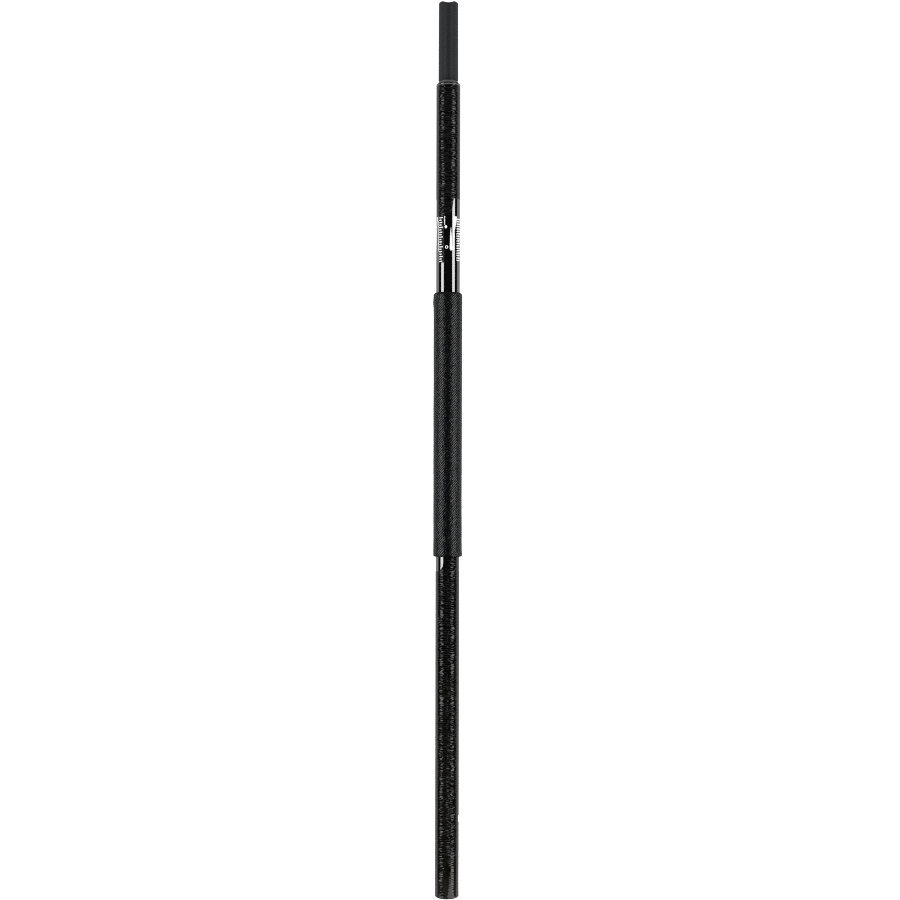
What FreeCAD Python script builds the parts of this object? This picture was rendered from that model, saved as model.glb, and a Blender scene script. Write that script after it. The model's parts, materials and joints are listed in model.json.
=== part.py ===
"""Curling broom handle: a glossy composite tube with a textured hand grip, a fluted spigot that takes
the brush head at the upper end, and a rubber plug in the free lower end.

Units are millimetres.  +Z runs up the shaft towards the spigot, the origin is the centre of the face
that the free end stands on, and +X points out through the small round hole in the tube's wall.
"""

import FreeCAD, Part
import math
import os

# ---- driving dimensions ---------------------------------------------------------------------------

overall_length = 1075.0

tube_outer_d = 28.6             # the 1-1/8 inch size of curling handles
tube_wall = 2.0
tube_top_z = 977.0
tube_rim_rounding = 0.9

side_hole_d = 10.0
side_hole_z = 93.3

plug_flange_height = 2.5
plug_flange_rounding = 1.0
plug_stem_length = 24.0
plug_stem_d = 22.0
plug_rib_height = 1.6
plug_rib_count = 3
plug_wall = 2.2
plug_dimple_d = 6.0
plug_dimple_depth = 0.6

ground_depth = 0.3              # the shaft is ground down by this much where the film and the grip go
film_thickness = 0.12
film_bottom_z = 391.0
film_top_z = 838.0

grip_bottom_z = 409.0
grip_top_z = 726.0
grip_outer_d = 34.2             # over the ridges of the cover
grip_underlay_thickness = 1.0
grip_lip_length = 4.0           # how far the cover closes down past each end of the underlay
grip_band_thickness = 0.4
grip_band_width = 8.0
grip_top_rounding = 2.4
grip_bottom_rounding = 1.2
grip_flare_length = 3.0         # the cover's run from its plain part up onto a band

seat_ring_height = 4.0
seat_ring_outer_d = 23.4
seat_ring_inner_d = 18.0
seat_ring_rounding = 0.9

spigot_base_d = 23.8            # widest at the seat ring, drawn in a little towards the tip
spigot_tip_d = 23.2
spigot_tip_rounding = 1.3
spigot_flute_count = 3
spigot_flute_half_width = 7.4   # from a flute's middle to each of its edges
spigot_flute_floor = 5.3        # from the axis to a flute's floor
spigot_flute_edge_rounding = 1.0
spigot_shank_length = 60.0
spigot_shank_core_d = 17.0
spigot_shank_floor = 6.0        # solid plastic left above the core
glue_groove_depth = 0.4
glue_groove_width = 3.0
glue_groove_count = 3

# ---- worked out from the above --------------------------------------------------------------------

tube_outer_r = tube_outer_d / 2
tube_bore_r = tube_outer_r - tube_wall
ground_r = tube_outer_r - ground_depth
film_outer_r = ground_r + film_thickness
underlay_outer_r = film_outer_r + grip_underlay_thickness
band_outer_r = underlay_outer_r + grip_band_thickness
cover_outer_r = grip_outer_d / 2
cover_end_r = cover_outer_r + grip_band_thickness
underlay_bottom_z = grip_bottom_z + grip_lip_length
underlay_top_z = grip_top_z - grip_lip_length
spigot_bottom_z = tube_top_z + seat_ring_height

FRONT = -90.0                   # the azimuth of -Y, where the first flute faces


def cylinder(radius, z_low, z_high):
    """A round bar on the Z axis."""
    return Part.makeCylinder(radius, z_high - z_low, FreeCAD.Vector(0, 0, z_low))


def ring(inner_r, outer_r, z_low, z_high):
    """A plain tube on the Z axis."""
    return cylinder(outer_r, z_low, z_high).cut(cylinder(inner_r, z_low, z_high))


def circular_edges(shape, radius, z):
    """The full or part circles of one radius about the Z axis at one height."""
    found = []
    for edge in shape.Edges:
        curve = edge.Curve
        if not isinstance(curve, Part.Circle):
            continue
        on_axis = math.hypot(curve.Center.x, curve.Center.y) < 1e-6
        if on_axis and abs(curve.Radius - radius) < 1e-6 and abs(curve.Center.z - z) < 1e-6:
            found.append(edge)
    return found


def turned(points):
    """A solid of revolution about Z from (radius, z) points, joined by straight lines."""
    corners = [FreeCAD.Vector(r, 0, z) for r, z in points]
    outline = Part.makePolygon(corners + corners[:1])
    return Part.Face(outline).revolve(FreeCAD.Vector(0, 0, 0), FreeCAD.Vector(0, 0, 1), 360)


def make_shaft_tube():
    """The composite tube: ground down along its middle, its upper rim rounded over, and one round hole
    through the +X wall."""
    body = ring(tube_bore_r, tube_outer_r, plug_flange_height, tube_top_z)
    body = body.cut(ring(ground_r, 2 * tube_outer_r, film_bottom_z, film_top_z))
    body = body.makeFillet(tube_rim_rounding, circular_edges(body, tube_outer_r, tube_top_z))
    drill = Part.makeCylinder(
        side_hole_d / 2,
        2 * tube_outer_r,
        FreeCAD.Vector(0, 0, side_hole_z),
        FreeCAD.Vector(1, 0, 0),
    )
    return body.cut(drill)


def make_label_film():
    """The clear film in the ground part of the shaft, which shows at both ends of the grip."""
    return ring(ground_r, film_outer_r, film_bottom_z, film_top_z)


def make_grip_underlay():
    """The foam tube between the film and the cover."""
    return ring(film_outer_r, underlay_outer_r, underlay_bottom_z, underlay_top_z)


def make_grip_band(z_low):
    """A band of tape that holds one end of the underlay."""
    return ring(underlay_outer_r, band_outer_r, z_low, z_low + grip_band_width)


def make_grip_sleeve():
    """The cover: plain along its length, swollen where it passes over the two bands, and closed down
    onto the shaft at each end."""
    low_band_top = underlay_bottom_z + grip_band_width
    high_band_bottom = underlay_top_z - grip_band_width
    inside = [
        (film_outer_r, grip_bottom_z),
        (film_outer_r, underlay_bottom_z),
        (band_outer_r, underlay_bottom_z),
        (band_outer_r, low_band_top),
        (underlay_outer_r, low_band_top),
        (underlay_outer_r, high_band_bottom),
        (band_outer_r, high_band_bottom),
        (band_outer_r, underlay_top_z),
        (film_outer_r, underlay_top_z),
        (film_outer_r, grip_top_z),
    ]
    outside = [
        (cover_end_r, grip_top_z),
        (cover_end_r, high_band_bottom),
        (cover_outer_r, high_band_bottom - grip_flare_length),
        (cover_outer_r, low_band_top + grip_flare_length),
        (cover_end_r, low_band_top),
        (cover_end_r, grip_bottom_z),
    ]
    body = turned(inside + outside)
    body = body.makeFillet(grip_top_rounding, circular_edges(body, cover_end_r, grip_top_z))
    return body.makeFillet(grip_bottom_rounding, circular_edges(body, cover_end_r, grip_bottom_z))


def make_seat_ring():
    """The ring in the spigot's neck, which the brush head's socket seats against."""
    body = ring(seat_ring_inner_d / 2, seat_ring_outer_d / 2, tube_top_z, spigot_bottom_z)
    rims = circular_edges(body, seat_ring_outer_d / 2, tube_top_z)
    rims += circular_edges(body, seat_ring_outer_d / 2, spigot_bottom_z)
    return body.makeFillet(seat_ring_rounding, rims)


def flute_cutter(azimuth):
    """The round bar that leaves one broad flute, from the seat ring to past the spigot's tip."""
    edge_depth = math.sqrt((spigot_base_d / 2) ** 2 - spigot_flute_half_width ** 2)
    rise = edge_depth - spigot_flute_floor
    cutter_r = (spigot_flute_half_width ** 2 + rise ** 2) / (2 * rise)
    distance = spigot_flute_floor + cutter_r
    turn = math.radians(azimuth)
    foot = FreeCAD.Vector(distance * math.cos(turn), distance * math.sin(turn), spigot_bottom_z)
    return Part.makeCylinder(cutter_r, overall_length, foot)


def long_edges(shape):
    """The straight edges that run the whole length of the fluted part."""
    found = []
    for edge in shape.Edges:
        ends = [vertex.Point.z for vertex in edge.Vertexes]
        if len(ends) == 2 and abs(ends[0] - ends[1]) > 0.9 * (overall_length - spigot_bottom_z):
            found.append(edge)
    return found


def make_spigot_blade():
    """The fluted part that stands out of the shaft."""
    length = overall_length - spigot_bottom_z
    foot = FreeCAD.Vector(0, 0, spigot_bottom_z)
    blade = Part.makeCone(spigot_base_d / 2, spigot_tip_d / 2, length, foot)
    for number in range(spigot_flute_count):
        blade = blade.cut(flute_cutter(FRONT + number * 360 / spigot_flute_count))
    seams = [edge for edge in long_edges(blade) if math.hypot(edge.CenterOfMass.x, edge.CenterOfMass.y) > 1]
    blade = blade.makeFillet(spigot_flute_edge_rounding, seams)
    tip = [edge for edge in blade.Edges if abs(edge.BoundBox.ZMin - overall_length) < 1e-6]
    return blade.makeFillet(spigot_tip_rounding, tip)


def make_head_spigot():
    """The moulded insert in one piece: fluted part, neck, and the cored shank glued in the tube."""
    shank_bottom_z = tube_top_z - spigot_shank_length
    shank = cylinder(tube_bore_r, shank_bottom_z, tube_top_z)
    core = cylinder(spigot_shank_core_d / 2, shank_bottom_z, tube_top_z - spigot_shank_floor)
    shank = shank.cut(core)
    pitch = spigot_shank_length / (glue_groove_count + 1)
    for number in range(glue_groove_count):
        low = shank_bottom_z + (number + 1) * pitch - glue_groove_width / 2
        groove = ring(tube_bore_r - glue_groove_depth, tube_outer_r, low, low + glue_groove_width)
        shank = shank.cut(groove)
    neck = cylinder(seat_ring_inner_d / 2, tube_top_z, spigot_bottom_z)
    return shank.fuse([neck, make_spigot_blade()]).removeSplitter()


def make_end_plug():
    """The rubber plug: a flange as wide as the tube, and a hollow ribbed stem inside it."""
    flange = cylinder(tube_outer_r, 0, plug_flange_height)
    flange = flange.makeFillet(plug_flange_rounding, circular_edges(flange, tube_outer_r, 0))
    stem_top = plug_flange_height + plug_stem_length
    stem = cylinder(plug_stem_d / 2, plug_flange_height, stem_top)
    hollow = cylinder(plug_stem_d / 2 - plug_wall, plug_flange_height + plug_wall, stem_top)
    ribs = []
    pitch = plug_stem_length / plug_rib_count
    for number in range(plug_rib_count):
        low = plug_flange_height + (number + 0.5) * pitch
        ribs.append(cylinder(tube_bore_r, low, low + plug_rib_height))
    dimple = cylinder(plug_dimple_d / 2, 0, plug_dimple_depth)
    return flange.fuse([stem] + ribs).cut(hollow).cut(dimple).removeSplitter()


def make_all():
    """Every node of the handle, by name."""
    return {
        "shaft_tube": make_shaft_tube(),
        "label_film": make_label_film(),
        "grip_underlay": make_grip_underlay(),
        "grip_band_lower": make_grip_band(underlay_bottom_z),
        "grip_band_upper": make_grip_band(underlay_top_z - grip_band_width),
        "grip_sleeve": make_grip_sleeve(),
        "seat_ring": make_seat_ring(),
        "head_spigot": make_head_spigot(),
        "end_plug": make_end_plug(),
    }


os.makedirs("parts", exist_ok=True)
for name, shape in make_all().items():
    shape.exportStep(f"parts/{name}.step")
    print(f"{name:18s} {shape.Volume / 1000:8.2f} cm3  valid {shape.isValid()}  solids {len(shape.Solids)}")
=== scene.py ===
import json
import math

import bpy
import numpy as np
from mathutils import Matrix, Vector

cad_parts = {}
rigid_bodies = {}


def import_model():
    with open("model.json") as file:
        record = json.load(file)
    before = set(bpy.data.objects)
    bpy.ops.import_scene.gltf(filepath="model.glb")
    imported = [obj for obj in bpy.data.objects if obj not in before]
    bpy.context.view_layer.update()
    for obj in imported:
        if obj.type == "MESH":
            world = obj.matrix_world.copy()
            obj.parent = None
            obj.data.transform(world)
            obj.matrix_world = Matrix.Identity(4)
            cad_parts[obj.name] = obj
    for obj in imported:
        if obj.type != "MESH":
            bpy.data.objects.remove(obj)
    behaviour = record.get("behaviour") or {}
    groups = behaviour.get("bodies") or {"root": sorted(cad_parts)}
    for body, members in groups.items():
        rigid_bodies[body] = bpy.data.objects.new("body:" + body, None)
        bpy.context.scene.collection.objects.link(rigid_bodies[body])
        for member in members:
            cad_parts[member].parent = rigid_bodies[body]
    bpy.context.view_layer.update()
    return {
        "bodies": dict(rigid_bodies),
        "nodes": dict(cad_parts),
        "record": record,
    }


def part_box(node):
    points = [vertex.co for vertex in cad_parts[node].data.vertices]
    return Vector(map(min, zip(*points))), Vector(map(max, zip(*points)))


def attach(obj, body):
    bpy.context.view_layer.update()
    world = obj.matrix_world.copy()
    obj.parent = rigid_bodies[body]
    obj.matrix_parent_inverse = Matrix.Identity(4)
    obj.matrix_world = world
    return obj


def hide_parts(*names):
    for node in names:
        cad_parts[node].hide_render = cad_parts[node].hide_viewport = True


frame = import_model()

# A curling broom handle, seen square on against white. Metres, in the frame of the CAD model:
# +Z up the shaft, +X out through the small hole, and the camera looks along +Y.
# Angles round the shaft are 0 at the front, which is -Y, and grow towards +X.

MM = 0.001
TAU = 2 * math.pi
BODY = list(frame["bodies"])[0]


# ---- sizes ----------------------------------------------------------------------------------------

def radius_of(node):
    """Half of a round node's width."""
    low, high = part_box(node)
    return (high[0] - low[0]) / 2


def span_of(node):
    """A node's lowest and highest Z."""
    low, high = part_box(node)
    return low[2], high[2]


TUBE_R = radius_of("shaft_tube")
FILM_R = radius_of("label_film")
COVER_R = radius_of("grip_sleeve")
RING_R = radius_of("seat_ring")
UNDERLAY_R = radius_of("grip_underlay")
TUBE_LOW, TUBE_HIGH = span_of("shaft_tube")
FILM_LOW, FILM_HIGH = span_of("label_film")
COVER_LOW, COVER_HIGH = span_of("grip_sleeve")
RING_LOW, RING_HIGH = span_of("seat_ring")
SPIGOT_LOW, SPIGOT_HIGH = span_of("head_spigot")
PLUG_HIGH = span_of("end_plug")[1]
HOLE = next(mount for mount in frame["record"]["mounts"] if mount["name"] == "side_hole")
HOLE_R = HOLE["dims"]["r_mm"] * MM
HOLE_Z = HOLE["pos_m"][2]

TUBE_WALL = 2 * MM
BORE_R = TUBE_R - TUBE_WALL
FILM_THICKNESS = 0.12 * MM
GROUND_R = FILM_R - FILM_THICKNESS
GROUND_EDGE = 0.3 * MM
RIM_ROUNDING = 0.9 * MM

TAPE_PITCH = 2.7 * MM               # from one ridge of the shaft's wound skin to the next
RIDGE_HEIGHT = 0.14 * MM
RIDGE_INSIDE = 0.62                 # the share of a ridge's height that lies inside the full radius
SMOOTH_SKIN_DEPTH = 0.03 * MM       # how far the skin lies inside the full radius where it has no ridges
RUBBED_LOW = 38 * MM                # the skin is smooth on the right below this, and ridged above the next
RUBBED_HIGH = 52 * MM
SKIN_COLUMNS = 72
SKIN_STEP = 0.46 * MM               # between the rows of the shaft's mesh where it is ridged
HIDDEN_LOW = COVER_LOW + 8 * MM     # the shaft's mesh is coarse between these two
HIDDEN_HIGH = FILM_HIGH - 45 * MM
HIDDEN_ROWS = 24

PAINTED_RIM_HIGHLIGHT_LOW = TUBE_HIGH - 2.8 * MM     # painted highlight: a pale band round the shaft's rounded rim, where the rim reflects the light
PAINTED_RIM_HIGHLIGHT_LOW_FULL = TUBE_HIGH - 2.5 * MM
PAINTED_RIM_HIGHLIGHT_HIGH_FULL = TUBE_HIGH - 1.6 * MM
PAINTED_RIM_HIGHLIGHT_HIGH = TUBE_HIGH - 1.4 * MM
PAINTED_WARM_LIGHT_FULL = 60 * MM                # painted floor light: the resin is drawn a little browner and paler towards the free end
PAINTED_WARM_LIGHT_HIGH = 320 * MM
PAINTED_FLOOR_LIGHT_FULL = 8 * MM                  # and paler still at the free end itself, painted floor light too
PAINTED_FLOOR_LIGHT_HIGH = 32 * MM

FILM_TOP_STEP = 21 * MM             # the film's top reaches this much higher on the right than on the left
FILM_TOP_MARGIN = 0.3 * MM          # from the film's top, on the left, up to where the label is measured from
FILM_BOTTOM_STEP = 19 * MM
FILM_BOTTOM_LIFT = 0.5 * MM
FILM_EDGE_THINNING = 0.05 * MM
FILM_EDGE_WIDTH = 0.4 * MM
FILM_SWELL = 0.012 * MM
FILM_COLUMNS = 144
FILM_ROWS = 260
SEAM_HEIGHT = 0.05 * MM             # where the film laps over itself at the back
SEAM_HALF_WIDTH = math.radians(9)

LABEL_TOP = FILM_HIGH - FILM_TOP_STEP
INK_R = FILM_R + 0.05 * MM
PANEL_R = FILM_R + 0.03 * MM
PRINT_ROOT_R = FILM_R - 0.03 * MM
PRINT_STEP = 3.0                    # degrees between the columns of a mark's mesh, to lie close on the film
PRINT_ROWS = 14
DEGREES_PER_MM = 4.06               # round the film
TICK_PITCH = 2.9                    # millimetres down the label
TICK_THICKNESS = 1.3
TICK_RHYTHM = (1.0, 0.62, 0.8, 0.62)    # the ticks' lengths, over and over, as on a ruler

COVER_STARTS = 34                   # ridges side by side round the cover
COVER_LEAD = 3.1 * MM               # from one ridge to the next, straight up
COVER_RIDGE = 0.45 * MM
COVER_BEAD = 2.74 * MM              # height of one course of beads along the ridges
COVER_COLUMNS_PER_RIDGE = 6
COVER_ROWS_PER_BEAD = 4
COVER_TOP_ROUNDING = 3.2 * MM
COVER_BOTTOM_ROUNDING = 1.2 * MM
COVER_LIP = 4 * MM
COVER_CREST_R = COVER_R - 0.3 * MM  # before the cover swells
COVER_BORE_R = UNDERLAY_R + 0.45 * MM
COVER_LIP_R = FILM_R + 0.02 * MM
TAPE_SWELLING = 0.12 * MM           # over each of the two bands of tape
TOP_LIFT = 0.55 * MM                # where the cover stands off at its top left
BOTTOM_LIFT = 0.50 * MM             # and at its bottom right
COVER_UNEVENNESS = 0.08 * MM

FLUTE_COUNT = 3
FLUTE_HALF_WIDTH = 7.4 * MM
FLUTE_FLOOR = 5.3 * MM
FLUTE_EDGE = 1.0 * MM
BLADE_BASE_R = 11.9 * MM
BLADE_TIP_R = 11.6 * MM
BLADE_TIP_ROUNDING = 1.3 * MM
NECK_R = 9 * MM
SHANK_CORE_R = 8.5 * MM
SHANK_FLOOR = 6 * MM
GLUE_GROOVE_COUNT = 3
GLUE_GROOVE_PITCH = 15 * MM
GLUE_GROOVE_WIDTH = 3 * MM
GLUE_GROOVE_DEPTH = 0.4 * MM

RING_BOTTOM_ROUNDING = 0.9 * MM
RING_TOP_ROUNDING = 0.4 * MM
RING_GROOVE = 0.9 * MM              # height of the dark line between the ring and the spigot
RING_GROOVE_DEPTH = 0.45 * MM

PLUG_FLANGE = 2.5 * MM
PLUG_ROUNDING = 1.0 * MM
PLUG_STEM_R = 11 * MM
PLUG_WALL = 2.2 * MM
PLUG_RIB = 1.6 * MM
PLUG_RIB_COUNT = 3
PLUG_DIMPLE_R = 3 * MM
PLUG_DIMPLE_DEPTH = 0.6 * MM
PLUG_MIDDLE_R = 0.4 * MM            # of the small flat faces that close the plug at its axis


# ---- meshes ---------------------------------------------------------------------------------------

SHARP_TURN = math.radians(38)       # a mesh is creased where it turns by more than this
COVER_SHARP_TURN = math.radians(36)
HOLE_SHARP_TURN = math.radians(45)
PLAIN_COLUMNS = 120                 # columns of points round the ring and the plug
HOLE_COLUMNS = 48
SPIGOT_COLUMNS = 240


def drift(angle, z, most_turns, shortest, seed):
    """A smooth irregular field, mostly between -1 and 1, that closes on itself round the shaft."""
    waves = 14
    rng = np.random.default_rng(seed)
    total = np.zeros(np.broadcast(angle, z).shape)
    for _ in range(waves):
        turns = rng.integers(-most_turns, most_turns + 1)
        length = shortest * rng.uniform(1, 3)
        total += np.cos(turns * angle + TAU * z / length + rng.uniform(0, TAU))
    return total / math.sqrt(waves)


def on_shaft(radius, angle, z):
    """Points at a radius and an angle round the shaft."""
    radius, angle, z = np.broadcast_arrays(radius, angle, z)
    return np.stack([radius * np.sin(angle), -radius * np.cos(angle), z], axis=-1)


def smooth(low, high, value):
    """0 below low, 1 above high, and an even curve between."""
    share = np.clip((value - low) / (high - low), 0, 1)
    return share * share * (3 - 2 * share)


def add_piece(name, points, faces, sharp=SHARP_TURN):
    """A smooth shaded mesh object from points and faces, with creases where it turns sharply."""
    mesh = bpy.data.meshes.new(name)
    mesh.from_pydata(np.asarray(points).reshape(-1, 3).tolist(), [], faces)
    mesh.shade_smooth()
    mesh.set_sharp_from_angle(angle=sharp)
    piece = bpy.data.objects.new(name, mesh)
    bpy.context.scene.collection.objects.link(piece)
    return piece


def grid_faces(rows, columns, close_rows, close_columns):
    """Quads over a grid of points, joined up across either direction if asked."""
    row = np.arange(rows if close_rows else rows - 1)[:, None]
    column = np.arange(columns if close_columns else columns - 1)[None, :]
    next_row = (row + 1) % rows
    next_column = (column + 1) % columns
    corners = [
        row * columns + column,
        row * columns + next_column,
        next_row * columns + next_column,
        next_row * columns + column,
    ]
    return np.stack(corners, axis=-1).reshape(-1, 4).tolist()


def add_ring_piece(name, points, sharp=SHARP_TURN):
    """A piece whose rows of points go round its outline, so that the last row meets the first."""
    rows, columns = points.shape[:2]
    return add_piece(name, points, grid_faces(rows, columns, True, True), sharp)


def add_capped_piece(name, points):
    """A piece that is closed by a face at its first and its last row."""
    rows, columns = points.shape[:2]
    faces = grid_faces(rows, columns, False, True)
    faces.append(list(range(columns))[::-1])
    faces.append([(rows - 1) * columns + column for column in range(columns)])
    return add_piece(name, points, faces)


def arc(centre, radius, start, end, steps):
    """(radius, z) points along an arc of a profile; degrees, 0 outwards and 90 up."""
    turns = np.radians(np.linspace(start, end, steps))
    return [(centre[0] + radius * math.cos(t), centre[1] + radius * math.sin(t)) for t in turns]


def columns_round(count):
    """Evenly spaced angles round the shaft."""
    return np.arange(count) * TAU / count


def turned(profile, angle):
    """Rows of points round the shaft, one row for each (radius, z) of a profile."""
    profile = np.array(profile)
    return on_shaft(profile[:, 0][:, None], angle, profile[:, 1][:, None])


# ---- shaft ----------------------------------------------------------------------------------------

def shaft_nominal(z):
    """The shaft's full radius, which is a little less where it is ground for the film and the grip."""
    past_low = smooth(FILM_LOW - GROUND_EDGE, FILM_LOW, z)
    past_high = smooth(FILM_HIGH, FILM_HIGH + GROUND_EDGE, z)
    return TUBE_R - (TUBE_R - GROUND_R) * past_low * (1 - past_high)


def rightness(angle):
    """0 at the shaft's left, 1 at its right."""
    return 0.5 + 0.5 * np.sin(angle)


def film_top(angle):
    """The film's upper edge: level on the left, stepping up to the right."""
    rise = FILM_TOP_STEP + FILM_TOP_MARGIN
    return LABEL_TOP - FILM_TOP_MARGIN + rise * smooth(0.57, 0.77, rightness(angle))


def film_bottom(angle):
    """The film's lower edge, which steps up to the right too."""
    return FILM_LOW + FILM_BOTTOM_LIFT + FILM_BOTTOM_STEP * smooth(0.1, 0.6, rightness(angle))


def skin_depth(angle, z):
    """How far the wound skin lies inside the shaft's full radius. It is below 0 on a crest."""
    long_bends = 0.8 * drift(angle, z, most_turns=3, shortest=45 * MM, seed=11)
    short_bends = 0.30 * drift(angle, z, most_turns=7, shortest=9 * MM, seed=12)
    phase = z / TAPE_PITCH - angle / TAU + (long_bends + short_bends)
    crest = np.abs(np.sin(math.pi * phase))
    unevenness = 0.5 * drift(angle, z, most_turns=6, shortest=14 * MM, seed=13)
    strength = np.clip(0.8 + unevenness, 0.2, 1.4)
    relief = RIDGE_HEIGHT * (RIDGE_INSIDE - crest) * strength
    edge = 0.4 * MM
    filmed = smooth(-edge, edge, film_top(angle) - z) * smooth(-edge, edge, z - film_bottom(angle))
    rubbed = smooth(-0.2, -0.05, np.sin(angle)) * (1 - smooth(RUBBED_LOW, RUBBED_HIGH, z))
    return relief * (1 - filmed) * (1 - rubbed) + SMOOTH_SKIN_DEPTH * np.maximum(filmed, rubbed)


def shaft_rows():
    """The shaft's outer rows: close together where its ridges show, and far apart under the grip."""
    rim = TUBE_HIGH - RIM_ROUNDING
    lower = np.linspace(TUBE_LOW, HIDDEN_LOW, round((HIDDEN_LOW - TUBE_LOW) / SKIN_STEP))
    middle = np.linspace(HIDDEN_LOW, HIDDEN_HIGH, HIDDEN_ROWS)[1:-1]
    upper = np.linspace(HIDDEN_HIGH, rim, round((rim - HIDDEN_HIGH) / SKIN_STEP))
    return np.concatenate([lower, middle, upper])


def make_shaft():
    """The composite tube with its ridged skin, rounded rim and side hole."""
    angle = columns_round(SKIN_COLUMNS)[None, :]
    z = shaft_rows()[:, None]
    above_plug = smooth(TUBE_LOW, TUBE_LOW + 1.5 * MM, z)
    outer = on_shaft(shaft_nominal(z) - skin_depth(angle, z) * above_plug, angle, z)
    corner = (TUBE_R - RIM_ROUNDING, TUBE_HIGH - RIM_ROUNDING)
    rim = arc(corner, RIM_ROUNDING, start=15, end=90, steps=6)
    bore = [(BORE_R, level) for level in np.linspace(TUBE_HIGH, TUBE_LOW, 9)]
    profile = np.array(rim + bore)
    r = profile[:, 0][:, None]
    z = profile[:, 1][:, None]
    fade = smooth(TUBE_R - RIM_ROUNDING, TUBE_R, r)
    rest = on_shaft(r - skin_depth(angle, z) * fade, angle, z)
    shaft = add_ring_piece("shaft", np.concatenate([outer, rest]))
    drill_side_hole(shaft)
    return shaft


def drill_side_hole(shaft):
    """Cuts the round hole through the wall on the +X side."""
    around = columns_round(HOLE_COLUMNS)
    clearance = 4 * MM
    reach = np.array([BORE_R - clearance, TUBE_R + clearance])[:, None]
    drill_points = np.stack(
        np.broadcast_arrays(reach, HOLE_R * np.cos(around), HOLE_Z + HOLE_R * np.sin(around)),
        axis=-1,
    )
    drill = add_capped_piece("drill", drill_points)
    cut = shaft.modifiers.new("side_hole", "BOOLEAN")
    cut.operation = "DIFFERENCE"
    cut.solver = "MANIFOLD"
    cut.object = drill
    bpy.context.view_layer.update()
    evaluated = shaft.evaluated_get(bpy.context.evaluated_depsgraph_get())
    mesh = bpy.data.meshes.new_from_object(evaluated)
    shaft.modifiers.clear()
    shaft.data = mesh
    mesh.shade_smooth()
    mesh.set_sharp_from_angle(angle=HOLE_SHARP_TURN)
    bpy.data.objects.remove(drill)


# ---- film and print -------------------------------------------------------------------------------

def make_film():
    """The film round the ground part of the shaft, stepped at both ends, with a lapped seam at the
    back."""
    angle = columns_round(FILM_COLUMNS)[None, :]
    top = film_top(angle)
    bottom = film_bottom(angle)
    share = np.linspace(0, 1, FILM_ROWS)[:, None]
    z = bottom + (top - bottom) * share
    seam = SEAM_HEIGHT * np.exp(-((np.abs(angle - math.pi)) / SEAM_HALF_WIDTH) ** 4)
    swell = FILM_SWELL * drift(angle, z, most_turns=4, shortest=60 * MM, seed=21)
    from_edge = np.minimum(z - bottom, top - z)
    thinning = FILM_EDGE_THINNING * (1 - smooth(0, FILM_EDGE_WIDTH, from_edge))
    outside = on_shaft(FILM_R + seam + swell - thinning, angle, z)
    inside = on_shaft(np.full_like(z, GROUND_R + 0.01 * MM), angle, z)
    coarser_back_down = inside[::-6]
    return add_ring_piece("film", np.concatenate([outside, coarser_back_down]))


def slab(angles, depths, closed=False, outer_r=INK_R):
    """Points and faces of one printed mark: a grid of angles in degrees and depths in millimetres below
    the label's top, given a thickness. A closed one joins its last column to its first."""
    angle = np.radians(np.asarray(angles, float))
    z = LABEL_TOP - np.asarray(depths, float) * MM
    rows, columns = angle.shape
    outer = on_shaft(outer_r, angle, z).reshape(-1, 3)
    inner = on_shaft(PRINT_ROOT_R, angle, z).reshape(-1, 3)
    count = rows * columns
    front = grid_faces(rows, columns, False, closed)
    back = [[corner + count for corner in face[::-1]] for face in front]
    loops = [[row * columns + column for column in range(columns)] for row in (0, rows - 1)]
    if not closed:
        left = [row * columns for row in range(rows)]
        right = [row * columns + columns - 1 for row in range(rows)]
        loops = [loops[0] + right[1:] + loops[1][::-1][1:] + left[::-1][1:-1]]
    walls = []
    for loop in loops:
        following = loop[1:] + loop[:1]
        walls += [[b, a, a + count, b + count] for a, b in zip(loop, following)]
    return np.concatenate([outer, inner]), front + back + walls


def strip_mark(left, right, depths):
    """A mark between two edges, each an angle at every depth."""
    columns = 2 + round(float(np.max(right - left)) / PRINT_STEP)
    share = np.linspace(0, 1, columns)[None, :]
    left = np.asarray(left, float)[:, None]
    right = np.asarray(right, float)[:, None]
    depth = np.repeat(np.asarray(depths, float)[:, None], columns, axis=1)
    return slab(left + (right - left) * share, depth)


def tick_column(start, reach, first, last, slant):
    """A ruler of plain ticks, which all begin on one line."""
    marks = []
    for number, depth in enumerate(np.arange(first, last, TICK_PITCH)):
        length = reach * TICK_RHYTHM[number % len(TICK_RHYTHM)]
        share = np.linspace(0, 1, 2 + round(length / PRINT_STEP))
        angles = np.stack([start + length * share] * 2)
        depths = np.stack([depth + slant * share, depth + TICK_THICKNESS + slant * share])
        marks.append(slab(angles, depths))
    return marks


def stripe(left, right, first, last, lean=0.0, narrowing=0.0):
    """A stripe between two angles and two depths. Towards its foot it can lean over and narrow."""
    share = np.linspace(0, 1, PRINT_ROWS)
    depths = first + (last - first) * share
    return strip_mark(left + lean * share, right + (lean - narrowing) * share, depths)


def blunt_foot(share):
    """1 along a mark, rounding off to 0 at its foot."""
    past = np.clip((share - 0.88) / 0.12, 0, 1)
    return np.minimum(1, np.sqrt(np.maximum(0, 1 - past ** 2)))


def leaf():
    """A long leaf that widens from its tip to a blunt foot."""
    share = np.linspace(0, 1, PRINT_ROWS)
    left = 14 - 6 * np.sqrt(share) * blunt_foot(share)
    right = 15 + 8 * share * blunt_foot(share)
    return strip_mark(left, right, 14 + 28 * share)


def wedge():
    """A wedge that narrows downwards."""
    share = np.linspace(0, 1, PRINT_ROWS)
    left = np.full_like(share, 23.5)
    return strip_mark(left, left + 22 * (1 - share) ** 0.7 + 4, 0.5 + 20 * share)


def bar():
    """A straight bar with a blunt foot."""
    share = np.linspace(0, 1, PRINT_ROWS)
    left = np.full_like(share, 23.0)
    return strip_mark(left, left + 9.5 * blunt_foot(share), 20 + 22 * share)


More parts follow.
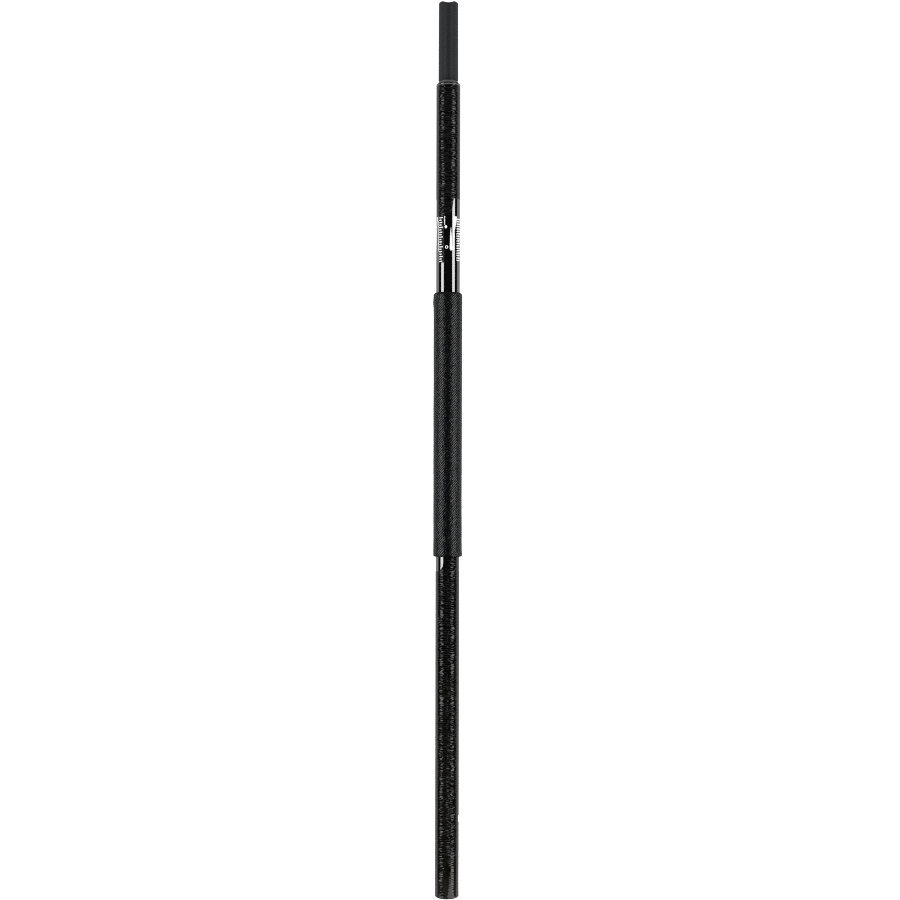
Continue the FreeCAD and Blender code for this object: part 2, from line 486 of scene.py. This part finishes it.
def diamond():
    """A small diamond."""
    share = np.linspace(0, 1, PRINT_ROWS)
    half_width = 8 * (1 - abs(2 * share - 1))
    middle = -11
    return strip_mark(middle - half_width, middle + half_width + 0.2, 11 + 4.6 * share)


def small_ring():
    """A small ring."""
    turn = columns_round(24)
    reach = np.array([[1.1], [2.0]])
    angles = -7 + DEGREES_PER_MM * reach * np.sin(turn)
    return slab(angles, 37.5 - reach * np.cos(turn), closed=True)


def plain_marks():
    """The label's marks, which are plain shapes and two rulers of ticks."""
    marks = [
        stripe(-72, -61, 0.5, 41.5, lean=-20, narrowing=2),
        stripe(-54, -50.5, 6, 42),
        stripe(-18.5, -15, 0.5, 11),
        leaf(),
        wedge(),
        bar(),
        diamond(),
        small_ring(),
    ]
    marks += tick_column(start=-47, reach=21, first=1.5, last=55, slant=0)
    marks += tick_column(start=46, reach=52, first=3, last=55, slant=-1.0)
    return marks


def dark_panel():
    """The matt black ground that the left ruler of ticks is printed on."""
    angles, depths = np.meshgrid(np.linspace(-49, -21, 8), np.linspace(0, 56, 20))
    return slab(angles, depths, outer_r=PANEL_R)


def make_print(name, marks):
    """One colour of the print on the film above the grip."""
    points = []
    faces = []
    for mark_points, mark_faces in marks:
        first = sum(len(group) for group in points)
        points.append(mark_points)
        faces += [[corner + first for corner in face] for face in mark_faces]
    return add_piece(name, np.concatenate(points), faces)


# ---- grip cover -----------------------------------------------------------------------------------

def cover_profile():
    """(radius, z, ridging) along the cover's outline: up the outside and down the inside."""
    foot = (COVER_CREST_R - COVER_BOTTOM_ROUNDING, COVER_LOW + COVER_BOTTOM_ROUNDING)
    head = (COVER_CREST_R - COVER_TOP_ROUNDING, COVER_HIGH - COVER_TOP_ROUNDING)
    low_lip = COVER_LOW + COVER_LIP
    high_lip = COVER_HIGH - COVER_LIP
    rows = [(COVER_LIP_R, COVER_LOW, 0), (FILM_R + 1 * MM, COVER_LOW, 0.2)]
    rows += [(r, z, 0.6) for r, z in arc(foot, COVER_BOTTOM_ROUNDING, start=-90, end=-18, steps=4)]
    for z in np.arange(foot[1], head[1], COVER_BEAD / COVER_ROWS_PER_BEAD):
        rows.append((COVER_CREST_R, z, 1))
    rows += [(r, z, 0.8) for r, z in arc(head, COVER_TOP_ROUNDING, start=8, end=90, steps=7)]
    rows += [(FILM_R + 0.8 * MM, COVER_HIGH, 0.2), (COVER_LIP_R, COVER_HIGH, 0)]
    rows += [(COVER_LIP_R, high_lip, 0)]
    rows += [(COVER_BORE_R, z, 0) for z in np.linspace(high_lip, low_lip, 6)]
    rows += [(COVER_LIP_R, low_lip, 0)]
    return np.array(rows)


def hump(z, middle, half_width, power):
    """1 at a height, falling to 0 above and below it, and squarer the higher the power."""
    return np.exp(-((z - middle) / half_width) ** power)


def cover_swelling(angle, z):
    """How far the cover stands off its plain radius: over the two tape bands, and where it lifts."""
    bands = hump(z, COVER_HIGH - 8 * MM, 6 * MM, 4) + hump(z, COVER_LOW + 8 * MM, 6 * MM, 4)
    left = hump(z, COVER_HIGH - 12 * MM, 5 * MM, 2) * np.exp(3 * (-np.sin(angle) - 1))
    right = hump(z, COVER_LOW + 2.5 * MM, 3 * MM, 2) * np.exp(3 * (np.sin(angle) - 1))
    uneven = COVER_UNEVENNESS * drift(angle, z, most_turns=3, shortest=60 * MM, seed=31)
    return TAPE_SWELLING * bands + TOP_LIFT * left + BOTTOM_LIFT * right + uneven


def make_cover():
    """The grip's cover: slanting ridges, beaded along their length, on a mesh that follows them."""
    profile = cover_profile()
    r = profile[:, 0][:, None]
    z = profile[:, 1][:, None]
    ridging = profile[:, 2][:, None]
    columns = COVER_STARTS * COVER_COLUMNS_PER_RIDGE
    angle = columns_round(columns)[None, :] + TAU * z / (COVER_STARTS * COVER_LEAD)
    wrapped = np.mod(angle, TAU)
    phase = np.arange(columns)[None, :] / COVER_COLUMNS_PER_RIDGE
    ridge = smooth(-0.05, 0.2, np.abs(phase % 1 - 0.5))
    slip = 0.25 * drift(wrapped, z, most_turns=2, shortest=40 * MM, seed=33)
    bead = 0.5 + 0.5 * np.cos(TAU * (z / COVER_BEAD + slip))
    roughness = 0.10 * drift(wrapped, z, most_turns=20, shortest=5 * MM, seed=32)
    relief = ridge * (0.72 + 0.28 * bead) + 0.08 * bead + roughness
    highest = 1.12
    depth = COVER_RIDGE * (highest - np.clip(relief, 0, highest)) * ridging
    swelling = cover_swelling(wrapped, z) * np.clip(ridging * 2, 0, 1)
    return add_ring_piece("cover", on_shaft(r - depth + swelling, angle, z), sharp=COVER_SHARP_TURN)


# ---- spigot, ring and plug ------------------------------------------------------------------------

def blade_radius(angle, z):
    """The fluted part's outline: a tapered round bar with broad flutes, their edges rounded over."""
    share = (z - RING_HIGH) / (SPIGOT_HIGH - RING_HIGH)
    bar = BLADE_BASE_R + (BLADE_TIP_R - BLADE_BASE_R) * share
    edge_depth = math.sqrt(BLADE_BASE_R ** 2 - FLUTE_HALF_WIDTH ** 2)
    rise = edge_depth - FLUTE_FLOOR
    cutter_r = (FLUTE_HALF_WIDTH ** 2 + rise ** 2) / (2 * rise)
    distance = FLUTE_FLOOR + cutter_r
    pitch = TAU / FLUTE_COUNT
    turn = (angle + pitch / 2) % pitch - pitch / 2
    inside = np.maximum(cutter_r ** 2 - (distance * np.sin(turn)) ** 2, 0)
    flute = distance * np.cos(turn) - np.sqrt(inside)
    flute = np.where(inside > 0, flute, 2 * BLADE_BASE_R)
    blend = 0.35 * FLUTE_EDGE
    gap = np.clip((flute - bar) / blend, -30, 30)
    return bar - blend * np.log1p(np.exp(-gap))


def shank_profile():
    """(radius, z) from the blind end of the shank's core, down it, and up the outside to the ring's top."""
    profile = [(SHANK_CORE_R, TUBE_HIGH - SHANK_FLOOR), (SHANK_CORE_R, SPIGOT_LOW), (BORE_R, SPIGOT_LOW)]
    groove_r = BORE_R - GLUE_GROOVE_DEPTH
    for number in range(GLUE_GROOVE_COUNT):
        middle = SPIGOT_LOW + (number + 1) * GLUE_GROOVE_PITCH
        low = middle - GLUE_GROOVE_WIDTH / 2
        high = middle + GLUE_GROOVE_WIDTH / 2
        profile += [(BORE_R, low), (groove_r, low), (groove_r, high), (BORE_R, high)]
    return profile + [(BORE_R, TUBE_HIGH), (NECK_R, TUBE_HIGH), (NECK_R, RING_HIGH)]


def blade_rows(angle):
    """Rows of points up the fluted part and over its rounded tip to near the middle of its end."""
    levels = np.linspace(RING_HIGH + 0.3 * MM, SPIGOT_HIGH - BLADE_TIP_ROUNDING, 90)
    rows = []
    for z in np.concatenate([[RING_HIGH], levels]):
        scrape = 0.02 * MM * drift(angle, z, most_turns=40, shortest=60 * MM, seed=41)
        rows.append(on_shaft(blade_radius(angle, z) + scrape, angle, z)[0])
    for turn in np.radians(np.linspace(10, 90, 9)):
        z = SPIGOT_HIGH - BLADE_TIP_ROUNDING * (1 - math.sin(turn))
        inset = BLADE_TIP_ROUNDING * (1 - math.cos(turn))
        rows.append(on_shaft(blade_radius(angle, z) - inset, angle, z)[0])
    rim = blade_radius(angle, SPIGOT_HIGH) - BLADE_TIP_ROUNDING
    for share in (0.8, 0.5, 0.2):
        rows.append(on_shaft(rim * share, angle, SPIGOT_HIGH)[0])
    return np.array(rows)


def make_spigot():
    """The moulded insert: fluted part, neck, and the cored shank inside the shaft."""
    angle = columns_round(SPIGOT_COLUMNS)[None, :]
    rows = np.concatenate([turned(shank_profile(), angle), blade_rows(angle)])
    return add_capped_piece("spigot", rows)


def make_ring():
    """The seat ring, rounded at both rims, with a narrow neck that leaves a groove under the spigot."""
    shoulder = RING_HIGH - RING_GROOVE
    groove_r = RING_R - RING_GROOVE_DEPTH
    low_corner = (RING_R - RING_BOTTOM_ROUNDING, RING_LOW + RING_BOTTOM_ROUNDING)
    high_corner = (RING_R - RING_TOP_ROUNDING, shoulder - RING_TOP_ROUNDING)
    profile = [(NECK_R, RING_LOW)]
    profile += arc(low_corner, RING_BOTTOM_ROUNDING, start=-90, end=0, steps=8)
    profile += arc(high_corner, RING_TOP_ROUNDING, start=0, end=90, steps=6)
    profile += [(groove_r, shoulder), (groove_r, RING_HIGH), (NECK_R, RING_HIGH)]
    return add_ring_piece("ring", turned(profile, columns_round(PLAIN_COLUMNS)[None, :]))


def flange_profile():
    """(radius, z) from the middle of the dimple, under the flange, and up to the stem's foot."""
    chamfer = 0.15 * MM
    profile = [
        (PLUG_MIDDLE_R, PLUG_DIMPLE_DEPTH),
        (PLUG_DIMPLE_R - 0.4 * MM, PLUG_DIMPLE_DEPTH),
        (PLUG_DIMPLE_R, PLUG_DIMPLE_DEPTH - 0.3 * MM),
        (PLUG_DIMPLE_R, 0.1 * MM),
        (PLUG_DIMPLE_R + 0.2 * MM, 0),
    ]
    profile += arc((TUBE_R - PLUG_ROUNDING, PLUG_ROUNDING), PLUG_ROUNDING, start=-90, end=0, steps=8)
    profile += [(TUBE_R, PLUG_FLANGE - chamfer), (TUBE_R - chamfer, PLUG_FLANGE)]
    return profile + [(PLUG_STEM_R, PLUG_FLANGE)]


def stem_profile():
    """(radius, z) up the ribbed stem, and down its hollow to the middle of its floor."""
    profile = []
    pitch = (PLUG_HIGH - PLUG_FLANGE) / PLUG_RIB_COUNT
    for number in range(PLUG_RIB_COUNT):
        low = PLUG_FLANGE + (number + 0.5) * pitch
        high = low + PLUG_RIB
        profile += [(PLUG_STEM_R, low), (BORE_R, low + 0.5 * MM)]
        profile += [(BORE_R, high - 0.3 * MM), (PLUG_STEM_R, high)]
    hollow_r = PLUG_STEM_R - PLUG_WALL
    hollow_floor = PLUG_FLANGE + PLUG_WALL
    profile += [(PLUG_STEM_R, PLUG_HIGH), (hollow_r, PLUG_HIGH)]
    return profile + [(hollow_r, hollow_floor), (PLUG_MIDDLE_R, hollow_floor)]


def make_plug():
    """The rubber plug: a flange as wide as the shaft, a dimple under it, and a ribbed hollow stem."""
    profile = flange_profile() + stem_profile()
    return add_capped_piece("plug", turned(profile, columns_round(PLAIN_COLUMNS)[None, :]))


# ---- materials ------------------------------------------------------------------------------------

class Nodes:
    """A node tree, with a short call for each node."""

    def __init__(self, tree):
        self.tree = tree

    def add(self, kind, inputs=None, **settings):
        """A node, with its settings and its inputs, each a value or another node's output."""
        node = self.tree.nodes.new(kind)
        for key, value in settings.items():
            setattr(node, key, value)
        for key, value in (inputs or {}).items():
            self.feed(node, key, value)
        return node

    def feed(self, node, key, value):
        """Sets one input, or links it."""
        if isinstance(value, bpy.types.NodeSocket):
            self.tree.links.new(value, node.inputs[key])
        else:
            node.inputs[key].default_value = value

    def between(self, value, low, high, to_low, to_high, **settings):
        """A value's range carried over to another one."""
        inputs = {"Value": value, "From Min": low, "From Max": high, "To Min": to_low, "To Max": to_high}
        return self.add("ShaderNodeMapRange", inputs, **settings).outputs["Result"]

    def maths(self, operation, *values):
        """One sum on values or other nodes' outputs."""
        return self.add("ShaderNodeMath", dict(enumerate(values)), operation=operation).outputs[0]

    def split(self, vector):
        """A vector's X, Y and Z."""
        return self.add("ShaderNodeSeparateXYZ", {"Vector": vector}).outputs


class Shader(Nodes):
    """A material and its node tree."""

    def __init__(self, name):
        self.material = bpy.data.materials.new(name)
        self.material.use_nodes = True
        super().__init__(self.material.node_tree)
        self.surface = self.tree.nodes["Principled BSDF"]
        self.place = self.add("ShaderNodeTexCoord").outputs["Object"]

    def parts(self):
        """The X, Y and Z coordinates."""
        return self.split(self.place)

    def facing(self):
        """0 where the surface faces the eye, rising to 1 at its outline."""
        return self.add("ShaderNodeLayerWeight", {"Blend": 0.5}).outputs["Facing"]

    def stretched(self, x, y, z):
        """Object coordinates, scaled."""
        node = self.add("ShaderNodeMapping", {"Vector": self.place, "Scale": (x, y, z)})
        return node.outputs["Vector"]

    def noise(self, vector, scale, detail, roughness=0.5):
        """Cloudy noise from 0 to 1."""
        inputs = {"Vector": vector, "Scale": scale, "Detail": detail, "Roughness": roughness}
        return self.add("ShaderNodeTexNoise", inputs).outputs["Fac"]

    def mixed(self, share, first, second):
        """A colour between two colours."""
        node = self.add("ShaderNodeMix", data_type="RGBA")
        self.feed(node, 0, share)
        self.feed(node, 6, first)
        self.feed(node, 7, second)
        return node.outputs[2]

    def bump(self, height, distance, strength=1.0, normal=None):
        """A bumped normal from a height from 0 to 1."""
        inputs = {"Height": height, "Distance": distance, "Strength": strength}
        if normal is not None:
            inputs["Normal"] = normal
        return self.add("ShaderNodeBump", inputs).outputs["Normal"]

    def finish(self, **inputs):
        """Sets the surface's own inputs, written with underscores for spaces."""
        for key, value in inputs.items():
            self.feed(self.surface, key.replace("_", " "), value)
        return self.material


def grey(level, warmth=0.0):
    """A grey of one linear level, or a little warmer."""
    return (level * (1 + warmth), level, level * (1 - warmth), 1)


def composite_colour(shader, height):
    """Black resin, painted browner and paler near the free end as floor light, and with a painted rim
    highlight.
    """
    fibres = shader.noise(shader.stretched(1, 1, 0.06), 2600, 2)
    colour = shader.mixed(shader.between(fibres, 0.3, 0.7, 0, 1), grey(0.0006), grey(0.002, 0.08))
    # Painted light from the floor: the resin's colour turns browner towards the free end.
    painted_warm_light = shader.between(height, PAINTED_WARM_LIGHT_FULL, PAINTED_WARM_LIGHT_HIGH, 1, 0)
    colour = shader.mixed(painted_warm_light, colour, (0.0031, 0.0029, 0.0017, 1))
    # More painted floor light: paler again at the free end itself, broken up by the fibres.
    low = shader.between(height, PAINTED_FLOOR_LIGHT_FULL, PAINTED_FLOOR_LIGHT_HIGH, 1, 0)
    painted_floor_light = shader.maths("MULTIPLY", low, shader.between(fibres, 0.3, 0.7, 0.7, 1))
    colour = shader.mixed(painted_floor_light, colour, (0.0125, 0.0115, 0.0095, 1))
    # Painted highlight: a pale grey band where the rim's rounding reflects the light.
    past_low = shader.between(height, PAINTED_RIM_HIGHLIGHT_LOW, PAINTED_RIM_HIGHLIGHT_LOW_FULL, 0, 1)
    short_of_high = shader.between(height, PAINTED_RIM_HIGHLIGHT_HIGH_FULL, PAINTED_RIM_HIGHLIGHT_HIGH, 1, 0)
    return shader.mixed(shader.maths("MULTIPLY", past_low, short_of_high), colour, grey(0.10))


def composite_normal(shader, parts):
    """Close uneven rings. They fade towards the outline, at the painted rim highlight and where the skin is
    smooth.
    """
    height = parts["Z"]
    wander = shader.maths("MULTIPLY", shader.noise(shader.stretched(0.5, 0.5, 1), 70, 2), 9.0)
    phase = shader.maths("MULTIPLY_ADD", height, math.pi / TAPE_PITCH, wander)
    wound = shader.maths("ABSOLUTE", shader.maths("SINE", phase))
    uneven = shader.noise(shader.stretched(0.10, 0.10, 1), 380, 1.0)
    below_rim_highlight = shader.between(height, PAINTED_RIM_HIGHLIGHT_LOW, PAINTED_RIM_HIGHLIGHT_LOW_FULL, 1, 0)
    strength = shader.maths("MULTIPLY", below_rim_highlight, shader.between(shader.facing(), 0.26, 0.42, 1, 0.1))
    right = shader.between(parts["X"], -0.2 * TUBE_R, -0.05 * TUBE_R, 0, 0.9)
    rubbed = shader.maths("MULTIPLY", right, shader.between(height, RUBBED_LOW, RUBBED_HIGH, 1, 0))
    strength = shader.maths("MULTIPLY", strength, shader.maths("SUBTRACT", 1.0, rubbed))
    normal = shader.bump(wound, 0.7 * MM, strength)
    return shader.bump(uneven, 3.0 * MM, strength, normal)


def composite_material():
    """Glossy wound composite."""
    shader = Shader("composite")
    parts = shader.parts()
    clouds = shader.noise(shader.place, 130, 4)
    return shader.finish(
        Base_Color=composite_colour(shader, parts["Z"]),
        Roughness=shader.between(clouds, 0.3, 0.7, 0.07, 0.11),
        Specular_IOR_Level=0.21,
        Normal=composite_normal(shader, parts),
    )


def film_material():
    """Clear film over black: a high gloss with very slight unevenness and dust."""
    shader = Shader("film_gloss")
    waves = shader.noise(shader.stretched(1, 1, 0.3), 60, 2)
    dust = shader.noise(shader.place, 3000, 2)
    colour = shader.mixed(shader.between(dust, 0.70, 0.78, 0, 1), grey(0.0015), grey(0.02))
    return shader.finish(
        Base_Color=colour,
        Roughness=shader.between(waves, 0.3, 0.7, 0.05, 0.09),
        Specular_IOR_Level=1.0,
        Normal=shader.bump(waves, 0.02 * MM, 0.4),
    )


def ink_material(name, darkest, palest):
    """Screen ink of one colour, a little uneven."""
    shader = Shader(name)
    clouds = shader.noise(shader.place, 400, 3)
    colour = shader.mixed(clouds, grey(darkest), grey(palest))
    return shader.finish(
        Base_Color=colour,
        Roughness=0.6,
        Specular_IOR_Level=0.1,
        Normal=shader.bump(clouds, 0.02 * MM, 0.3),
    )


def cover_material():
    """Charcoal rubber: matt and dark in the grooves as painted shade, slightly worn and shiny on the crests.
    """
    shader = Shader("cover_rubber")
    grain = shader.noise(shader.place, 2200, 3, 0.6)
    wear = shader.noise(shader.place, 500, 2)
    parts = shader.parts()
    angle = shader.maths("ARCTAN2", parts["X"], shader.maths("MULTIPLY", parts["Y"], -1.0))
    climb = shader.maths("MULTIPLY", parts["Z"], -1 / COVER_LEAD)
    ridge = shader.maths("FRACT", shader.maths("MULTIPLY_ADD", angle, COVER_STARTS / TAU, climb))
    from_groove = shader.maths("ABSOLUTE", shader.maths("SUBTRACT", ridge, 0.5))
    crest = shader.between(from_groove, 0.14, 0.30, 0, 1)
    shine = shader.maths("MULTIPLY", crest, shader.between(wear, 0.35, 0.6, 0.5, 1))
    # Painted shade: the base colour is darker in the grooves than on the crests.
    colour = shader.mixed(crest, (0.0006, 0.0008, 0.0015, 1), (0.0020, 0.0026, 0.0037, 1))
    return shader.finish(
        Base_Color=colour,
        Roughness=shader.between(grain, 0.3, 0.7, 0.20, 0.28),
        Specular_IOR_Level=shader.between(shine, 0, 1, 0.02, 0.335),
        Normal=shader.bump(grain, 0.10 * MM, 0.8, shader.bump(wear, 0.7 * MM)),
    )


def spigot_material():
    """Charcoal moulded plastic, satin, with fine lengthwise marks."""
    shader = Shader("spigot_plastic_satin")
    streaks = shader.noise(shader.stretched(1, 1, 0.02), 1500, 2)
    grain = shader.noise(shader.place, 2500, 3)
    colour = shader.mixed(streaks, (0.0052, 0.0056, 0.0082, 1), (0.0080, 0.0084, 0.0118, 1))
    return shader.finish(
        Base_Color=colour,
        Roughness=shader.between(grain, 0.3, 0.7, 0.6, 0.7),
        Specular_IOR_Level=shader.between(shader.facing(), 0.6, 0.9, 0.3, 0.06),
        Normal=shader.bump(grain, 0.03 * MM, 0.4),
    )


def ring_material():
    """Grey plastic with a fine spark-eroded grain, and painted shade over its top, under the spigot."""
    shader = Shader("ring_plastic_grey")
    grain = shader.noise(shader.place, 3000, 3)
    # Painted shade: the ring is darker over its top 1.1 millimetres or so, where the spigot shades it.
    painted_top_shade = shader.between(shader.parts()["Z"], RING_HIGH - 1.4 * MM, RING_HIGH - 1.1 * MM, 0, 1)
    colour = shader.mixed(painted_top_shade, shader.mixed(grain, grey(0.05), grey(0.08)), grey(0.01))
    return shader.finish(
        Base_Color=colour,
        Roughness=shader.between(grain, 0.3, 0.7, 0.5, 0.65),
        Specular_IOR_Level=0.2,
        Normal=shader.bump(grain, 0.02 * MM, 0.4),
    )


def plug_material():
    """Black rubber with a faint bloom."""
    shader = Shader("plug_rubber_black")
    bloom = shader.noise(shader.place, 150, 4)
    grain = shader.noise(shader.place, 2500, 3)
    colour = shader.mixed(bloom, (0.002, 0.004, 0.005, 1), (0.005, 0.009, 0.012, 1))
    return shader.finish(
        Base_Color=colour,
        Roughness=shader.between(grain, 0.3, 0.7, 0.4, 0.55),
        Normal=shader.bump(grain, 0.03 * MM, 0.5),
    )


def foam_material():
    """Grey closed-cell foam."""
    shader = Shader("underlay_foam")
    cell_inputs = {"Vector": shader.place, "Scale": 1400.0}
    cells = shader.add("ShaderNodeTexVoronoi", cell_inputs).outputs["Distance"]
    colour = shader.mixed(shader.between(cells, 0, 0.8, 0, 1), grey(0.05), grey(0.12))
    return shader.finish(Base_Color=colour, Roughness=0.85, Normal=shader.bump(cells, 0.2 * MM, 0.7))


def tape_material():
    """Woven cloth tape."""
    shader = Shader("band_cloth_tape")
    wave_inputs = {"Vector": shader.place, "Scale": 700.0, "Distortion": 0.4, "Detail": 1.0}
    weft = shader.add("ShaderNodeTexWave", wave_inputs, bands_direction="Z").outputs["Fac"]
    warp = shader.add("ShaderNodeTexWave", wave_inputs, bands_direction="X").outputs["Fac"]
    weave = shader.maths("MULTIPLY", weft, warp)
    colour = shader.mixed(weave, grey(0.01), grey(0.05))
    return shader.finish(Base_Color=colour, Roughness=0.75, Normal=shader.bump(weave, 0.1 * MM, 0.8))


def put_on(piece, material):
    """Gives a piece its one material."""
    piece.data.materials.clear()
    piece.data.materials.append(material)


# ---- studio ---------------------------------------------------------------------------------------

CAMERA_DISTANCE = 1.686
CAMERA_HEIGHT = 0.537
CAMERA_ASIDE = 2.85 * MM
CAMERA_LENS = 56.0                  # millimetres, as the next is
CAMERA_SENSOR = 36.0
CAMERA_ROLL = math.radians(-0.118)

BACKGROUND_LIGHT = 1.05
SCREEN_LIGHT = 1.6
SCREEN_FADE = 1.3                   # how fast the screen dims from its two sides to its middle
CEILING_LIGHT = 0.5
ROOM_LIGHT = 0.01

STRIP_LIGHT = 8.9
STRIP_AZIMUTH = 56                  # degrees from the camera's side, towards +X and towards -X
STRIP_WIDTH = 0.77
STRIP_LOW = -0.55
STRIP_HIGH = 1.45
STRIP_DISTANCE = 1.6

FLOOR_SIZE = 30.0
FLOOR_Z = -0.2 * MM

CARD_AZIMUTH = 38                   # degrees from the camera's side towards +X
CARD_OUTLINE = [                    # millimetres out from the shaft's axis, and across that to the right
    (16, -12),
    (45, -20),
    (64, -19),
    (87, -11),
    (110, -1),
    (110, 4),
    (16, 5),
]
CARD_LIGHT = 4.5


def add_camera():
    """A level camera square on to the handle."""
    data = bpy.data.cameras.new("camera")
    data.lens = CAMERA_LENS
    data.sensor_width = CAMERA_SENSOR
    camera = bpy.data.objects.new("camera", data)
    camera.location = (CAMERA_ASIDE, -CAMERA_DISTANCE, CAMERA_HEIGHT)
    camera.rotation_euler = (math.pi / 2, CAMERA_ROLL, 0)
    bpy.context.scene.collection.objects.link(camera)
    bpy.context.scene.camera = camera


def emission_material(name, strength):
    """A plain white glow."""
    material = bpy.data.materials.new(name)
    material.use_nodes = True
    nodes = Nodes(material.node_tree)
    nodes.tree.nodes.clear()
    glow = nodes.add("ShaderNodeEmission", {"Color": (1, 1, 1, 1), "Strength": strength})
    nodes.add("ShaderNodeOutputMaterial", {"Surface": glow.outputs[0]})
    return material


def add_strip(name, azimuth):
    """A tall soft box that faces the handle; azimuth in degrees from the camera's side towards +X."""
    height = STRIP_HIGH - STRIP_LOW
    light = bpy.data.lights.new(name, "AREA")
    light.shape = "RECTANGLE"
    light.size = STRIP_WIDTH
    light.size_y = height
    light.energy = STRIP_LIGHT * math.pi * STRIP_WIDTH * height
    strip = bpy.data.objects.new(name, light)
    turn = math.radians(azimuth)
    middle = (STRIP_LOW + STRIP_HIGH) / 2
    strip.location = (STRIP_DISTANCE * math.sin(turn), -STRIP_DISTANCE * math.cos(turn), middle)
    strip.rotation_euler = (math.pi / 2, 0, turn)
    strip.visible_camera = False
    bpy.context.scene.collection.objects.link(strip)


def add_floor_card():
    """A bright card lying on the floor by the free end, which only shows as its reflection in the shaft."""
    turn = math.radians(CARD_AZIMUTH)
    along = np.array([math.sin(turn), -math.cos(turn), 0])
    across = np.array([math.cos(turn), math.sin(turn), 0])
    lift = np.array([0, 0, 0.5 * MM])
    corners = [reach * MM * along + side * MM * across + lift for reach, side in CARD_OUTLINE]
    card = add_piece("floor_card", corners, [list(range(len(corners)))])
    put_on(card, emission_material("floor_card", CARD_LIGHT))
    card.visible_camera = False
    card.visible_diffuse = False


def add_floor():
    """A plain pale floor that runs off into the white behind."""
    sides = ((-1, -1), (1, -1), (1, 1), (-1, 1))
    corners = [(FLOOR_SIZE * x, FLOOR_SIZE * y, FLOOR_Z) for x, y in sides]
    floor = add_piece("floor", corners, [[0, 1, 2, 3]])
    material = Shader("floor_white").finish(
        Base_Color=grey(0.8),
        Roughness=0.9,
        Specular_IOR_Level=0.0,
        Emission_Color=(1, 1, 1, 1),
        Emission_Strength=0.98,
    )
    put_on(floor, material)
    floor.visible_glossy = False
    floor.visible_diffuse = False
    floor.visible_shadow = False


def room_level(nodes):
    """How bright the room is in each direction: a dark room with a pale screen behind, brightest at its
    two sides, and a dim ceiling."""
    direction = nodes.split(nodes.add("ShaderNodeTexCoord").outputs["Generated"])
    x, y, z = direction["X"], direction["Y"], direction["Z"]
    eased = {"interpolation_type": "SMOOTHSTEP"}
    aside = nodes.maths("POWER", nodes.maths("ABSOLUTE", x), SCREEN_FADE)
    steep = nodes.between(nodes.maths("ABSOLUTE", z), 0.38, 0.65, 0, 1, **eased)
    behind = nodes.between(y, 0.16, 0.21, 0, 1, **eased)
    behind = nodes.maths("MULTIPLY", behind, nodes.maths("SUBTRACT", 1.0, steep))
    screen = nodes.maths("MULTIPLY", nodes.maths("MULTIPLY", behind, aside), SCREEN_LIGHT)
    ceiling = nodes.maths("MULTIPLY", nodes.between(z, 0.5, 0.8, 0, 1, **eased), CEILING_LIGHT)
    return nodes.maths("ADD", nodes.maths("ADD", screen, ceiling), ROOM_LIGHT)


def set_world():
    """White behind everything for the camera. The room is what lights the handle and shows in its
    gloss."""
    world = bpy.data.worlds.new("studio")
    world.use_nodes = True
    nodes = Nodes(world.node_tree)
    nodes.tree.nodes.clear()
    white = (1, 1, 1, 1)
    room = nodes.add("ShaderNodeBackground", {"Color": white, "Strength": room_level(nodes)})
    backdrop = nodes.add("ShaderNodeBackground", {"Color": white, "Strength": BACKGROUND_LIGHT})
    seen = nodes.add("ShaderNodeLightPath").outputs["Is Camera Ray"]
    both = nodes.add("ShaderNodeMixShader", {0: seen, 1: room.outputs[0], 2: backdrop.outputs[0]})
    nodes.add("ShaderNodeOutputWorld", {"Surface": both.outputs[0]})
    bpy.context.scene.world = world


def set_picture():
    """Plain colours, and a picture as crisp as the photo."""
    scene = bpy.context.scene
    scene.view_settings.view_transform = "Standard"
    scene.cycles.use_denoising = False
    scene.cycles.filter_width = 1.1


# ---- the handle -----------------------------------------------------------------------------------

def fit(piece, node, material):
    """Puts a finished piece in a CAD node's place."""
    put_on(piece, material)
    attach(piece, BODY)
    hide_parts(node)


def add_print(name, marks, material):
    """One colour of print, which lies on the film and takes no CAD node's place."""
    piece = make_print(name, marks)
    put_on(piece, material)
    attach(piece, BODY)


add_camera()
set_world()
set_picture()
add_floor()
add_floor_card()
add_strip("strip_right", STRIP_AZIMUTH)
add_strip("strip_left", -STRIP_AZIMUTH)

fit(make_shaft(), "shaft_tube", composite_material())
fit(make_film(), "label_film", film_material())
add_print("label_marks", plain_marks(), ink_material("ink_white", 0.62, 0.80))
add_print("label_panel", [dark_panel()], ink_material("ink_black", 0.002, 0.006))
fit(make_cover(), "grip_sleeve", cover_material())
fit(make_spigot(), "head_spigot", spigot_material())
fit(make_ring(), "seat_ring", ring_material())
fit(make_plug(), "end_plug", plug_material())

put_on(frame["nodes"]["grip_underlay"], foam_material())
for band in ("grip_band_lower", "grip_band_upper"):
    put_on(frame["nodes"][band], tape_material())
